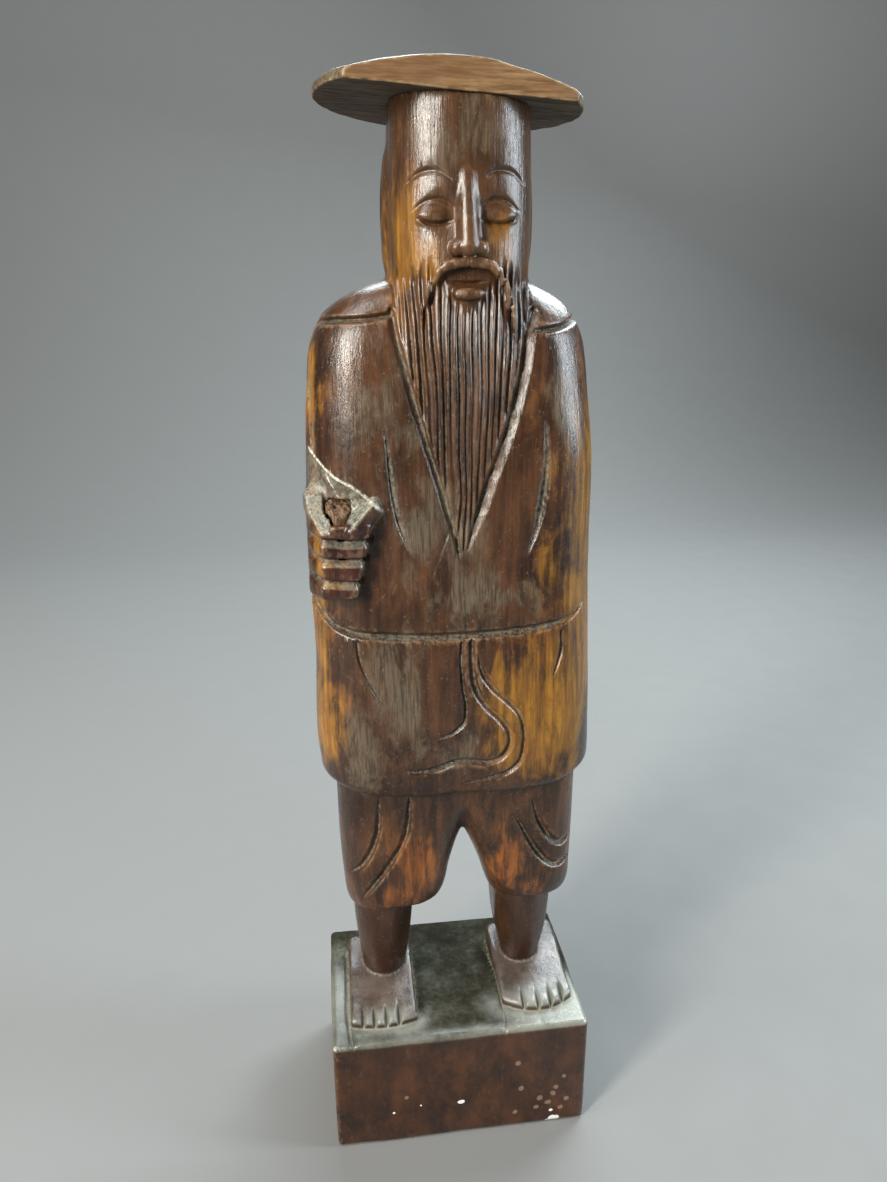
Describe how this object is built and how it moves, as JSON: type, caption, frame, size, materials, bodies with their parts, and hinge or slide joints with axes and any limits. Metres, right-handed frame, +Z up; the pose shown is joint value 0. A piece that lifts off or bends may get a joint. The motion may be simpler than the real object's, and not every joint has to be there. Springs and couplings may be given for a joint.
{
  "type": "carved wooden figure",
  "caption": "Carved wooden figure of an old bearded man in a flat hat, belted coat and knee trousers, one hand closed round a broken rod, standing on a rectangular plinth.",
  "frame": {"origin": "centre of the plinth's underside", "axes": "+Z up, the figure faces -Y, +X towards its left hand"},
  "size_m": [0.104, 0.0691, 0.3998],
  "materials": {
    "stained_wood": "dark red-brown stain, rubbed through to orange wood on the high places, satin",
    "hat_wood": "same stain as the figure, worn to paler wood on the flat front",
    "dowel_wood": "unfinished",
    "rod_wood": "raw broken end, stained below"
  },
  "bodies": {
    "root": {"carved_figure": "stained_wood", "hat": "hat_wood", "hat_dowel": "dowel_wood", "rod_stub": "rod_wood"}
  },
  "joints": []
}
